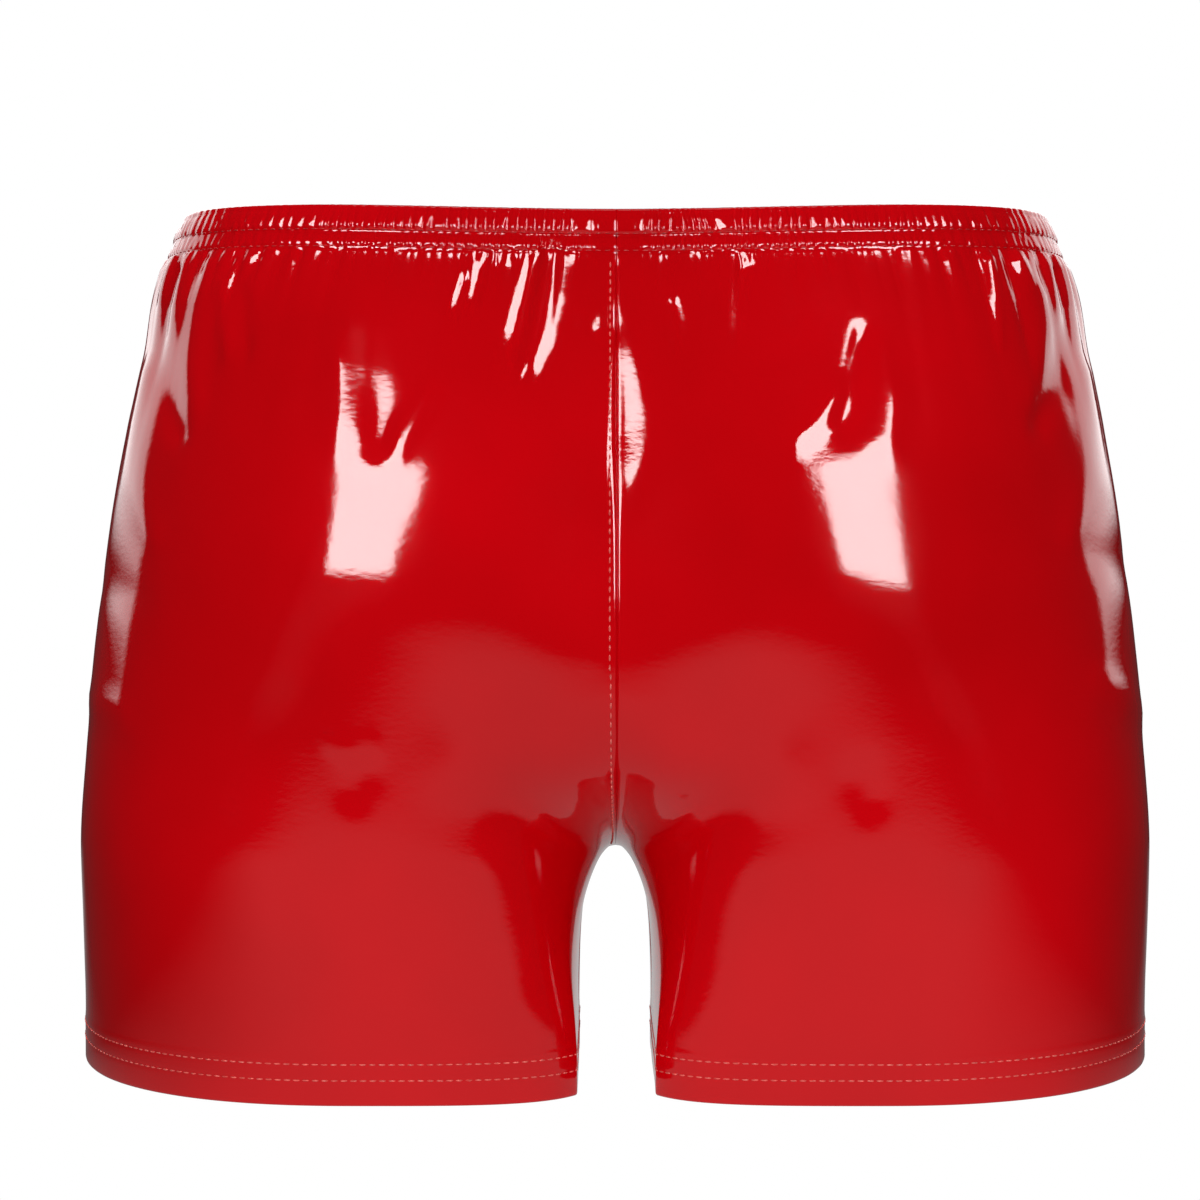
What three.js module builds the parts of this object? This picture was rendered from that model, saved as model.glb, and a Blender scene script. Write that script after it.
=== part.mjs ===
// Elastic-waist short boxing shorts, stood up as if worn.
// Frame: millimetres, +Z up, the hem edges in the plane z = 0, the back of the shorts facing -Y,
// the wearer's right leg on +X.  Two wrap-around panels (no side seam) carry a folded waist casing
// and a turned-up hem; an elastic band runs loose in the casing and sewing threads hold it together.
import * as THREE from 'three';

// ---------------------------------------------------------------- driving dimensions
const WAIST_Z = 312;          // height of the waist edge above the hem edge, at centre back and front
const SIDE_RISE = 6.5;        // the waist edge stands this much higher at the sides
const WAIST_SHIFT = 8;        // the waist section stands this much forward of the hips
const CROTCH_Z = 81;          // lowest point of the rise seam
const FABRIC = 0.8;           // coated stretch cloth with its knit backing
const GAP = 0.3;              // clearance kept between touching pieces
const CASING_Z = 293.4;       // raw edge of the folded waist casing
const HEM_Z = 16.6;           // raw edge of the turned-up hem
const ELASTIC_T = 1.4;        // elastic band thickness
const ELASTIC_Z0 = 295.4;     // elastic band lower and upper edge
const ELASTIC_Z1 = 310.8;
const THREAD_R = 0.3;         // sewing thread radius
const HEM_ROWS = [9.0, 14.6];           // twin-needle rows above the hem edge
const WAIST_ROWS = [296.6, 302.8];      // twin-needle rows through the casing
const LEG_GAP = 13.9;         // half of the clear width between the legs at the hem
const RISE_ROUND = 58;        // height over which the seat opens above the crotch
const TOPSTITCH = 2.3;        // topstitch row, sideways from the rise seam
const Y_MID = 5.4;            // moves the section centre so that the box is centred on y = 0
const LABEL_W = 28, LABEL_H = 31, LABEL_T = 0.4;
const COLUMNS = 34;           // columns round one panel

// half width, back depth and front depth against height
const HALF_WIDTH = [[0, 203.5], [24, 203.4], [97, 202], [139, 199.4], [170, 196.6], [189, 194.4], [203, 192.8], [227, 189.1], [250, 183.7], [272, 179.5], [283, 176], [293.4, 172.2], [304.5, 168.3], [312, 165.6]];
const BACK_DEPTH = [[0, 103], [20, 104.7], [40, 106.9], [60, 109.5], [81, 112.5], [110, 116.6], [139, 120.2], [170, 121.8], [195, 121], [220, 116], [247, 109], [272, 101], [293.4, 93.5], [303, 91], [312, 90]];
const FRONT_DEPTH = [[0, 100], [40, 101], [81, 105], [110, 109], [139, 111], [170, 111.5], [195, 109.5], [220, 105.5], [247, 100.5], [272, 95.5], [293.4, 91.5], [303, 90.4], [312, 90]];
// heights of the rows of the surface grid
const LEVELS = [HEM_Z, 34, 52, 65, 74, 79, CROTCH_Z, 82.6, 86.5, 93, 103, 118, 137, 158, 180, 203, 227, 250, 272, CASING_Z];

// ---------------------------------------------------------------- surface of one half
function table(rows, z) {
  if (z <= rows[0][0]) return rows[0][1];
  for (let i = 1; i < rows.length; i++) {
    if (z <= rows[i][0]) {
      const [z0, v0] = rows[i - 1], [z1, v1] = rows[i];
      const s0 = i > 1 ? (v1 - rows[i - 2][1]) / (z1 - rows[i - 2][0]) : (v1 - v0) / (z1 - z0);
      const s1 = i < rows.length - 1 ? (rows[i + 1][1] - v0) / (rows[i + 1][0] - z0) : (v1 - v0) / (z1 - z0);
      const h = z1 - z0, t = (z - z0) / h, t2 = t * t, t3 = t2 * t;
      return (2 * t3 - 3 * t2 + 1) * v0 + (t3 - 2 * t2 + t) * h * s0 + (3 * t2 - 2 * t3) * v1 + (t3 - t2) * h * s1;
    }
  }
  return rows[rows.length - 1][1];
}
const smooth = (a, b, v) => { const t = Math.min(1, Math.max(0, (v - a) / (b - a))); return t * t * (3 - 2 * t); };
const bell = (v, m, s) => Math.exp(-((v - m) ** 2) / (2 * s * s));

// evenly spaced points along a curve given as a dense list
function even(points, n) {
  const run = [0];
  for (let i = 1; i < points.length; i++) run.push(run[i - 1] + Math.hypot(points[i][0] - points[i - 1][0], points[i][1] - points[i - 1][1]));
  const out = [];
  let k = 0;
  for (let i = 0; i <= n; i++) {
    const s = (run[run.length - 1] * i) / n;
    while (k < run.length - 2 && run[k + 1] < s) k++;
    const t = Math.min(1, Math.max(0, (s - run[k]) / (run[k + 1] - run[k])));
    out.push([points[k][0] + t * (points[k + 1][0] - points[k][0]), points[k][1] + t * (points[k + 1][1] - points[k][1])]);
  }
  return out;
}

// torso half section, centre back to centre front round the side
function torso(z) {
  const a = table(HALF_WIDTH, z), b = table(BACK_DEPTH, z), f = table(FRONT_DEPTH, z);
  const n = 2.45 + 0.35 * Math.min(1, Math.max(0, (z - 200) / 95)) + 0.75 * (1 - smooth(95, 165, z));
  const seat = 6 * bell(z, 186, 46), pts = [];
  for (let i = 0; i <= 400; i++) {
    const q = (Math.PI * i) / 400, s = Math.sin(q), c = Math.cos(q);
    const x = a * Math.pow(Math.max(0, s), 2 / n);
    let y = (c > 0 ? -b : f) * Math.pow(Math.abs(c), 2 / n);
    if (c > 0) y -= seat * bell(x, 92, 46) - 3 * bell(z, 190, 60) * bell(x, 0, 20);
    pts.push([x, y]);
  }
  return even(pts, COLUMNS);
}

// leg section, inner leg round the back, outside and front to the inner leg again
function leg(z) {
  const a = table(HALF_WIDTH, z), b = table(BACK_DEPTH, z), f = table(FRONT_DEPTH, z);
  const g = z < CROTCH_Z ? LEG_GAP * Math.sqrt(1 - Math.pow(z / CROTCH_Z, 4.4)) : 0;
  const c0 = (a + g) / 2, w = (a - g) / 2, pts = [];
  const lean = 1 - smooth(0, 118, z);   // the back of the leg opening leans towards the other leg
  for (let i = 0; i <= 400; i++) {
    const q = (2 * Math.PI * i) / 400, s = Math.sin(q), c = Math.cos(q);
    const e = c > 0 && s > 0 ? 0.52 : 0.88;   // the inner back corner is the squarest
    const cc = Math.sign(c) * Math.abs(c) ** e, ss = Math.sign(s) * Math.abs(s) ** e;
    pts.push([Math.max(g, c0 - w * cc - lean * (s > 0 ? 17 : -5) * ss), s > 0 ? -b * ss : -f * ss]);
  }
  return even(pts, COLUMNS);
}

// The seat opens fast above the crotch along the rise seam, and slowly away from it.
function row(z) {
  const t = Math.min(1, Math.max(0, (z - CROTCH_Z) / RISE_ROUND));
  const atSeam = Math.sqrt(1 - (1 - t) * (1 - t)), away = smooth(10, 205, z);
  const L = leg(z), T = torso(z), out = [];
  for (let i = 0; i <= COLUMNS; i++) {
    const u = i / COLUMNS, s = smooth(0, 0.2, Math.min(u, 1 - u));
    const w = atSeam * (1 - s) + away * s;
    const end = i === 0 ? -1 : i === COLUMNS ? 1 : 0;
    const y = (1 - w) * L[i][1] + w * T[i][1] + WAIST_SHIFT * smooth(150, 300, z);
    const rise = SIDE_RISE * Math.sin(Math.PI * u) ** 2 * smooth(190, CASING_Z, z);
    out.push(new THREE.Vector3((1 - w) * L[i][0] + w * T[i][0] + GAP / 2, y + Y_MID + (end * GAP) / 2, z + rise));
  }
  return out;
}

const ROW_Z = [0, ...LEVELS, WAIST_Z];
const ROWS = ROW_Z.map(row);

// unit inward direction at each grid point; level ones at the hem and the casing, so those stay flat
const INWARD = ROWS.map((r) => r.map(() => new THREE.Vector3()));
for (let k = 0; k < ROWS.length - 1; k++) {
  for (let i = 0; i < COLUMNS; i++) {
    const a = ROWS[k][i], b = ROWS[k][i + 1], c = ROWS[k + 1][i + 1], d = ROWS[k + 1][i];
    for (const [p, q, s] of [[a, b, c], [a, c, d]]) {
      const n = new THREE.Vector3().subVectors(q, p).cross(new THREE.Vector3().subVectors(s, p));
      for (const [kk, ii] of p === a && q === b ? [[k, i], [k, i + 1], [k + 1, i + 1]] : [[k, i], [k + 1, i + 1], [k + 1, i]]) INWARD[kk][ii].sub(n);
    }
  }
}
INWARD.forEach((r, k) => r.forEach((n) => {
  if (ROW_Z[k] <= HEM_Z || ROW_Z[k] >= CASING_Z) n.z = 0;
  n.normalize();
}));
{
  // the two edges of the inner leg share one direction
  for (let k = 0; ROW_Z[k] < CROTCH_Z; k++) {
    const n = INWARD[k][0].clone().add(INWARD[k][COLUMNS]);
    n.y = 0;
    n.normalize();
    INWARD[k][0].copy(n);
    INWARD[k][COLUMNS].copy(n);
  }
}

// a point on column i at height z (between grid rows) and depth d into the shorts
function onWall(i, z, d) {
  let k = 0;
  while (k < ROW_Z.length - 2 && ROW_Z[k + 1] < z) k++;
  const t = (z - ROW_Z[k]) / (ROW_Z[k + 1] - ROW_Z[k]);
  const p = ROWS[k][i].clone().lerp(ROWS[k + 1][i], t);
  const n = INWARD[k][i].clone().lerp(INWARD[k + 1][i], t).normalize();
  return p.addScaledVector(n, d);
}

// ---------------------------------------------------------------- mesh helpers
function solid(name, vertices, faces, material, mirror) {
  const g = new THREE.BufferGeometry();
  const flat = [];
  vertices.forEach((v) => flat.push(mirror ? -v.x : v.x, v.y, v.z));
  const index = [];
  faces.forEach(([a, b, c]) => (mirror ? index.push(a, c, b) : index.push(a, b, c)));
  g.setAttribute('position', new THREE.Float32BufferAttribute(flat, 3));
  g.setIndex(index);
  g.computeVertexNormals();
  const m = new THREE.Mesh(g, material);
  m.name = name;
  return m;
}

// rings of equal length, each a loop of points; closed end to end, or capped with a fan
function loft(rings, closed) {
  const m = rings[0].length, vertices = rings.flat(), faces = [];
  const last = closed ? rings.length : rings.length - 1;
  for (let r = 0; r < last; r++) {
    const r2 = (r + 1) % rings.length;
    for (let j = 0; j < m; j++) {
      const j2 = (j + 1) % m, a = r * m + j, b = r * m + j2, c = r2 * m + j2, d = r2 * m + j;
      faces.push([a, b, c], [a, c, d]);
    }
  }
  if (!closed) {
    const e = (rings.length - 1) * m;
    for (let j = 1; j < m - 1; j++) {
      faces.push([0, j + 1, j]);
      faces.push([e, e + j, e + j + 1]);
    }
  }
  return { vertices, faces };
}
function volume({ vertices, faces }) {
  let v = 0;
  for (const [a, b, c] of faces) v += vertices[a].dot(new THREE.Vector3().crossVectors(vertices[b], vertices[c]));
  return v / 6;
}
function outward(mesh) {
  if (volume(mesh) < 0) mesh.faces = mesh.faces.map(([a, b, c]) => [a, c, b]);
  return mesh;
}

// a thread of six sides along a list of points
function thread(path, closed, sides = 6) {
  const n = path.length, rings = [];
  let up = null;
  for (let i = 0; i < n; i++) {
    const before = path[closed ? (i + n - 1) % n : Math.max(0, i - 1)], after = path[closed ? (i + 1) % n : Math.min(n - 1, i + 1)];
    const t = new THREE.Vector3().subVectors(after, before).normalize();
    if (!up) up = Math.abs(t.z) < 0.7 ? new THREE.Vector3(0, 0, 1) : new THREE.Vector3(1, 0, 0);
    const side = new THREE.Vector3().crossVectors(t, up).normalize();
    up = new THREE.Vector3().crossVectors(side, t).normalize();
    const ring = [];
    for (let j = 0; j < sides; j++) {
      const q = (2 * Math.PI * j) / sides;
      ring.push(path[i].clone().addScaledVector(side, THREAD_R * Math.cos(q)).addScaledVector(up, THREAD_R * Math.sin(q)));
    }
    rings.push(ring);
  }
  return outward(loft(rings, closed));
}

// ---------------------------------------------------------------- materials
const shell = new THREE.MeshStandardMaterial({ color: 0xc20409, roughness: 0.1, metalness: 0, side: THREE.DoubleSide });
const elastic = new THREE.MeshStandardMaterial({ color: 0xe9e6e1, roughness: 0.8, metalness: 0 });
const thread_red = new THREE.MeshStandardMaterial({ color: 0xd8262a, roughness: 0.5, metalness: 0 });
const label_white = new THREE.MeshStandardMaterial({ color: 0xf2f0ec, roughness: 0.6, metalness: 0 });

// ---------------------------------------------------------------- panels
// The cloth's face side and back side, as depth and height, from the raw hem edge inside, round the
// hem fold, up the wall, over the waist fold and down to the casing's raw edge inside.
const TURN = FABRIC + GAP;                          // hem turn-up lies on the wall
const CHANNEL = FABRIC + GAP + ELASTIC_T + GAP;     // the casing's inner layer, past the elastic
function panelColumn(i) {
  const face = [], back = [];
  const put = (d1, z1, d2, z2) => { face.push(onWall(i, z1, d1)); back.push(onWall(i, z2, d2)); };
  put(TURN + FABRIC, HEM_Z, TURN, HEM_Z);
  put(TURN + FABRIC, 0, TURN, FABRIC);
  put(0, 0, FABRIC, FABRIC);
  for (const z of LEVELS) put(0, z, FABRIC, z);
  put(0, WAIST_Z, FABRIC, WAIST_Z - FABRIC);
  put(CHANNEL + FABRIC, WAIST_Z, CHANNEL, WAIST_Z - FABRIC);
  put(CHANNEL + FABRIC, CASING_Z, CHANNEL, CASING_Z);
  return [...face, ...back.reverse()];
}
function panel() {
  const rings = [];
  for (let i = 0; i <= COLUMNS; i++) rings.push(panelColumn(i));
  const m = rings[0].length, h = m / 2, body = loft(rings, false);
  // replace the fans at the two ends by ladders between the face side and the back side
  body.faces.length = 2 * m * COLUMNS;
  const e = COLUMNS * m;
  for (let j = 0; j < h - 1; j++) {
    const a = j, b = j + 1, c = m - 2 - j, d = m - 1 - j;
    body.faces.push([a, c, b], [a, d, c]);
    body.faces.push([e + a, e + b, e + c], [e + a, e + c, e + d]);
  }
  return outward(body);
}
const half = panel();

// ---------------------------------------------------------------- rings round the waist and legs
const flip = (p) => new THREE.Vector3(-p.x, p.y, p.z);
function roundWaist(z, d) {
  const ring = [];
  for (let i = 0; i <= COLUMNS; i++) ring.push(onWall(i, z, d));
  for (let i = COLUMNS; i >= 0; i--) ring.push(flip(onWall(i, z, d)));
  return ring;
}
function roundLeg(z, d) {
  const ring = [];
  for (let i = 0; i <= COLUMNS; i++) ring.push(onWall(i, z, d));
  return ring;
}
const OUT = -(GAP + THREAD_R + 0.05);
const band = (() => {
  const d0 = FABRIC + GAP, d1 = FABRIC + GAP + ELASTIC_T;
  const a = roundWaist(ELASTIC_Z0, d0), b = roundWaist(ELASTIC_Z0, d1), c = roundWaist(ELASTIC_Z1, d1), e = roundWaist(ELASTIC_Z1, d0);
  return outward(loft(a.map((p, i) => [p, b[i], c[i], e[i]]), true));
})();

// ---------------------------------------------------------------- threads along the rise and inner legs
// points on the rise seam, centre back to centre front through the crotch, with the inward direction
const RISE = [];
for (let k = ROWS.length - 2; ROW_Z[k] > CROTCH_Z; k--) RISE.push([ROWS[k][0], INWARD[k][0]]);
{
  const k = ROW_Z.indexOf(CROTCH_Z);
  RISE.push([new THREE.Vector3(0, Y_MID, CROTCH_Z), new THREE.Vector3(0, 0, 1)]);
  for (let j = k + 1; j < ROWS.length - 1; j++) RISE.push([ROWS[j][COLUMNS], INWARD[j][COLUMNS]]);
}
function alongRise(sideways, depth) {
  return RISE.map(([p, n], j) => {
    const q = new THREE.Vector3(0, p.y, p.z), m = new THREE.Vector3(0, n.y, n.z).normalize();
    if (sideways === 0) return q.addScaledVector(m, depth);
    // under the crotch, where the two legs fall away steeply, the row closes on the seam
    if (p.z < 90) return q.addScaledVector(m, depth - 0.2);
    // sideways along the wall itself
    const before = RISE[Math.max(0, j - 1)][0], after = RISE[Math.min(RISE.length - 1, j + 1)][0];
    const t = new THREE.Vector3(0, after.y - before.y, after.z - before.z).normalize();
    const across = new THREE.Vector3().crossVectors(n, t).normalize();
    if (across.x < 0) across.negate();
    return flip(new THREE.Vector3(GAP / 2, p.y, p.z).addScaledVector(across, p.z < 100 ? sideways / 2 : sideways).addScaledVector(n, depth));
  });
}
const topstitch = alongRise(TOPSTITCH, -(GAP + THREAD_R + 0.25));
const seam = alongRise(0, FABRIC + GAP + THREAD_R + 0.1);

function alongInseam() {
  const path = [];
  for (let k = 0; k < ROWS.length; k++) {
    const z = ROW_Z[k];
    if (z < HEM_Z + 2 || z > CROTCH_Z - 4) continue;
    path.push(ROWS[k][0].clone().setY(Y_MID).addScaledVector(INWARD[k][0], FABRIC + GAP + THREAD_R + 0.05));
  }
  const first = onWall(0, HEM_Z + 2, FABRIC + GAP + THREAD_R + 0.05).setY(Y_MID);
  return [first, ...path];
}
const inseam = alongInseam();

// ---------------------------------------------------------------- sewn-in label, inside centre back
const casing = onWall(0, CASING_Z, CHANNEL + FABRIC);
const LABEL_Y = casing.y + 0.45 + LABEL_T / 2 + 0.15, LABEL_TOP = 295.2;
const label = new THREE.BoxGeometry(LABEL_W, LABEL_T, LABEL_H);
// the row that holds it stands just inside the casing's inner layer
const BAR_Z = LABEL_TOP + 1.35, BAR_Y = onWall(0, BAR_Z, CHANNEL + FABRIC).y + THREAD_R + 0.4;

// ---------------------------------------------------------------- assembly
const shorts = new THREE.Group();
shorts.add(solid('left_panel', half.vertices, half.faces, shell, true));
shorts.add(solid('right_panel', half.vertices, half.faces, shell, false));
shorts.add(solid('waist_elastic', band.vertices, band.faces, elastic, false));
WAIST_ROWS.forEach((z, n) => {
  const t = thread(roundWaist(z, OUT), true);
  shorts.add(solid(n === 0 ? 'waist_stitch_lower' : 'waist_stitch_upper', t.vertices, t.faces, thread_red, false));
});
HEM_ROWS.forEach((z, n) => {
  const t = thread(roundLeg(z, OUT), true);
  const end = n === 0 ? 'lower' : 'upper';
  shorts.add(solid(`left_hem_stitch_${end}`, t.vertices, t.faces, thread_red, true));
  shorts.add(solid(`right_hem_stitch_${end}`, t.vertices, t.faces, thread_red, false));
});
{
  const a = thread(topstitch, false), b = thread(seam, false), c = thread(inseam, false);
  shorts.add(solid('rise_topstitch', a.vertices, a.faces, thread_red, false));
  shorts.add(solid('rise_seam_thread', b.vertices, b.faces, thread_red, false));
  shorts.add(solid('left_inseam_thread', c.vertices, c.faces, thread_red, true));
  shorts.add(solid('right_inseam_thread', c.vertices, c.faces, thread_red, false));
}
const tag = new THREE.Mesh(label, label_white);
tag.name = 'size_label';
tag.position.set(0, LABEL_Y, LABEL_TOP - LABEL_H / 2);
shorts.add(tag);
{
  const bar = thread([new THREE.Vector3(-LABEL_W / 2 + 1, BAR_Y, BAR_Z), new THREE.Vector3(LABEL_W / 2 - 1, BAR_Y, BAR_Z)], false);
  shorts.add(solid('label_stitch', bar.vertices, bar.faces, thread_red, false));
}

export default shorts;
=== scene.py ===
"""Elastic-waist boxing shorts in wet-look coated cloth: the visual model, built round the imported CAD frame.
Lengths inside the shape code are millimetres in the part's frame; meshes are written in metres."""

import math

import bmesh
import bpy
import numpy as np
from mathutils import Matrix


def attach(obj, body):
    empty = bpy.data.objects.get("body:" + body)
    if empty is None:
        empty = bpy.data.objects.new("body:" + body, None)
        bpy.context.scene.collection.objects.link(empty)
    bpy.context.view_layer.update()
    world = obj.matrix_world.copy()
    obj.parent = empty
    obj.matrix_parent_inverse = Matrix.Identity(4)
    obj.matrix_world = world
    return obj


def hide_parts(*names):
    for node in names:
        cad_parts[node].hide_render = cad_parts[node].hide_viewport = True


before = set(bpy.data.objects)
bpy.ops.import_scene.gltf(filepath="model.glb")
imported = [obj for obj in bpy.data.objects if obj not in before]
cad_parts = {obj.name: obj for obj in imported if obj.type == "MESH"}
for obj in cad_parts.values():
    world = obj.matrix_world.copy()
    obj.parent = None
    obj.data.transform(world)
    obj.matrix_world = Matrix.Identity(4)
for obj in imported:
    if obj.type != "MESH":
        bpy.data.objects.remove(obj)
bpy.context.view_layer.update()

# ------------------------------------------------------------------ sizes shared with the CAD part
WAIST_Z, SIDE_RISE, WAIST_SHIFT, CROTCH_Z = 312.0, 6.5, 8.0, 81.0
FABRIC, CASING_Z, HEM_Z = 0.8, 293.4, 16.6
HEM_ROWS, WAIST_ROWS = (9.0, 14.6), (296.6, 302.8)
LEG_GAP, RISE_ROUND, TOPSTITCH, Y_MID = 13.9, 58.0, 2.3, 5.4
CHANNEL = 2.8
HALF_WIDTH = [(0, 203.5), (24, 203.4), (97, 202), (139, 199.4), (170, 196.6), (189, 194.4), (203, 192.8), (227, 189.1), (250, 183.7), (272, 179.5), (283, 176), (293.4, 172.2), (304.5, 168.3), (312, 165.6)]
BACK_DEPTH = [(0, 103), (20, 104.7), (40, 106.9), (60, 109.5), (81, 112.5), (110, 116.6), (139, 120.2), (170, 121.8), (195, 121), (220, 116), (247, 109), (272, 101), (293.4, 93.5), (303, 91), (312, 90)]
FRONT_DEPTH = [(0, 100), (40, 101), (81, 105), (110, 109), (139, 111), (170, 111.5), (195, 109.5), (220, 105.5), (247, 100.5), (272, 95.5), (293.4, 91.5), (303, 90.4), (312, 90)]
WAIST_RUN = 425.0  # half the waist, centre back to centre front

# ------------------------------------------------------------------ camera
cam_data = bpy.data.cameras.new("camera")
cam_data.lens, cam_data.sensor_width = 74.0, 36.0
cam_data.dof.use_dof = False
camera = bpy.data.objects.new("camera", cam_data)
bpy.context.collection.objects.link(camera)
camera.location = (-0.0058, -0.9446, 0.174)
camera.rotation_euler = (math.pi / 2, 0, 0)
bpy.context.scene.camera = camera


# ------------------------------------------------------------------ small maths
def smooth(a, b, v):
    t = np.clip((np.asarray(v, float) - a) / (b - a), 0, 1)
    return t * t * (3 - 2 * t)


def bell(v, m, s):
    return np.exp(-((v - m) ** 2) / (2 * s * s))


def table(rows, z):
    if z <= rows[0][0]:
        return float(rows[0][1])
    for i in range(1, len(rows)):
        if z <= rows[i][0]:
            (z0, v0), (z1, v1) = rows[i - 1], rows[i]
            s0 = (v1 - rows[i - 2][1]) / (z1 - rows[i - 2][0]) if i > 1 else (v1 - v0) / (z1 - z0)
            s1 = (rows[i + 1][1] - v0) / (rows[i + 1][0] - z0) if i < len(rows) - 1 else (v1 - v0) / (z1 - z0)
            h = z1 - z0
            t = (z - z0) / h
            t2, t3 = t * t, t * t * t
            return (2 * t3 - 3 * t2 + 1) * v0 + (t3 - 2 * t2 + t) * h * s0 + (3 * t2 - 2 * t3) * v1 + (t3 - t2) * h * s1
    return float(rows[-1][1])


def lattice(seed, ix, iy):
    h = (ix * 374761393 + iy * 668265263 + seed * 1442695041) & 0xFFFFFFFF
    h = ((h ^ (h >> 13)) * 1274126177) & 0xFFFFFFFF
    return ((h ^ (h >> 16)) & 0xFFFF) / 32767.5 - 1.0


def noise2(x, y, seed):
    """Smooth noise from -1 to 1 with a period of about 1."""
    x, y = np.broadcast_arrays(np.asarray(x, float), np.asarray(y, float))
    ix, iy = np.floor(x).astype(np.int64), np.floor(y).astype(np.int64)
    fx, fy = x - ix, y - iy
    fx, fy = fx * fx * fx * (fx * (fx * 6 - 15) + 10), fy * fy * fy * (fy * (fy * 6 - 15) + 10)
    a, b = lattice(seed, ix, iy), lattice(seed, ix + 1, iy)
    c, d = lattice(seed, ix, iy + 1), lattice(seed, ix + 1, iy + 1)
    return (a * (1 - fx) + b * fx) * (1 - fy) + (c * (1 - fx) + d * fx) * fy


def noise1(x, seed):
    return noise2(x, np.zeros_like(np.asarray(x, float)) + 0.5, seed)


def ridges(s, pitch, seed, sharp=0.8):
    """Rounded puckers with narrow valleys, 0 in a valley and 1 on a crest, of uneven pitch."""
    ph = s / pitch + 0.62 * noise1(s / (2.3 * pitch), seed) + 0.22 * noise1(s / (0.9 * pitch), seed + 1)
    return np.abs(np.sin(np.pi * ph)) ** sharp


# ------------------------------------------------------------------ smooth shape of one half
def resample(x, y, us):
    run = np.concatenate([[0], np.cumsum(np.hypot(np.diff(x), np.diff(y)))])
    run /= run[-1]
    return np.interp(us, run, x), np.interp(us, run, y)


def section_rows(zs, us):
    """Right half, centre back round the side to centre front, at each height: rows x columns x 3."""
    out = np.zeros((len(zs), len(us), 3))
    q = np.linspace(0, math.pi, 1601)
    sq, cq = np.clip(np.sin(q), 0, 1), np.cos(q)
    q2 = np.linspace(0, 2 * math.pi, 1601)
    s2, c2 = np.sin(q2), np.cos(q2)
    S = smooth(0, 0.2, np.minimum(us, 1 - us))
    for k, z in enumerate(zs):
        a, b, f = table(HALF_WIDTH, z), table(BACK_DEPTH, z), table(FRONT_DEPTH, z)
        n = 2.45 + 0.35 * min(1, max(0, (z - 200) / 95)) + 0.75 * (1 - float(smooth(95, 165, z)))
        x = a * sq ** (2 / n)
        y = np.where(cq > 0, -b, f) * np.abs(cq) ** (2 / n)
        seat = 6 * bell(z, 186, 46)
        y = y - (cq > 0) * (seat * bell(x, 92, 46) - 3 * bell(z, 190, 60) * bell(x, 0, 20))
        tx, ty = resample(x, y, us)
        g = LEG_GAP * math.sqrt(max(0.0, 1 - (z / CROTCH_Z) ** 4.4)) if z < CROTCH_Z else 0.0
        c0, w = (a + g) / 2, (a - g) / 2
        lean = 1 - float(smooth(0, 118, z))
        e = np.where((c2 > 0) & (s2 > 0), 0.52, 0.88)
        cc, ss = np.sign(c2) * np.abs(c2) ** e, np.sign(s2) * np.abs(s2) ** e
        lx = np.maximum(g, c0 - w * cc - lean * np.where(s2 > 0, 17, -5) * ss)
        ly = np.where(s2 > 0, -b, -f) * ss
        lx, ly = resample(lx, ly, us)
        t = min(1, max(0, (z - CROTCH_Z) / RISE_ROUND))
        wt = math.sqrt(1 - (1 - t) ** 2) * (1 - S) + float(smooth(10, 205, z)) * S
        out[k, :, 0] = (1 - wt) * lx + wt * tx
        out[k, :, 1] = (1 - wt) * ly + wt * ty + WAIST_SHIFT * float(smooth(150, 300, z)) + Y_MID
        out[k, :, 2] = z + SIDE_RISE * np.sin(math.pi * us) ** 2 * float(smooth(190, CASING_Z, z))
    return out


def normals(P, zs):
    """Outward unit normals of a grid of the right half. The first and last columns join their mirror
    images above the crotch, and each other below it."""
    above = np.asarray(zs) > CROTCH_Z + 1e-6
    flip = np.array([-1.0, 1, 1])
    left = np.where(above[:, None], P[:, 1] * flip, P[:, -2])
    right = np.where(above[:, None], P[:, -2] * flip, P[:, 1])
    du = np.concatenate([(P[:, 1] - left)[:, None], P[:, 2:] - P[:, :-2], (right - P[:, -2])[:, None]], 1)
    dv = np.zeros_like(P)
    dv[1:-1] = P[2:] - P[:-2]
    dv[0], dv[-1] = P[1] - P[0], P[-1] - P[-2]
    n = np.cross(du, dv)
    return n / np.maximum(np.linalg.norm(n, axis=-1, keepdims=True), 1e-12)


def relax_crotch(P, zs, rounds):
    above = (np.asarray(zs) > CROTCH_Z + 1e-6)[:, None]
    flip = np.array([-1.0, 1, 1])
    wgt = np.exp(-((P[..., 0] / 15) ** 2)) * (1 - smooth(108, 150, P[..., 2])) * smooth(58, 76, P[..., 2])
    wgt[0] = wgt[-1] = 0
    for _ in range(rounds):
        avg = np.zeros_like(P)
        left = np.where(above, P[:, 1] * flip, P[:, -2])
        right = np.where(above, P[:, -2] * flip, P[:, 1])
        ext = np.concatenate([left[:, None], P, right[:, None]], 1)
        avg[1:-1] = 0.25 * (ext[1:-1, :-2] + ext[1:-1, 2:] + P[2:] + P[:-2])
        P = P + (0.5 * wgt)[..., None] * (avg - P) * (np.abs(avg).sum(-1, keepdims=True) > 0)
        mid = 0.5 * (P[:, 0] + P[:, -1])
        P[:, 0] = np.where(above, P[:, 0], mid)
        P[:, -1] = np.where(above, P[:, -1], mid)
    return P


# ------------------------------------------------------------------ folds, gathers, seams and hems
def at_view(px, py, depth):
    """Width and height on the back where a view grid 1200 wide meets the depth given."""
    k = (950.0 + depth) / 2467.0
    return (px - 615.0) * k, 174.0 + (600.0 - py) * k


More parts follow.
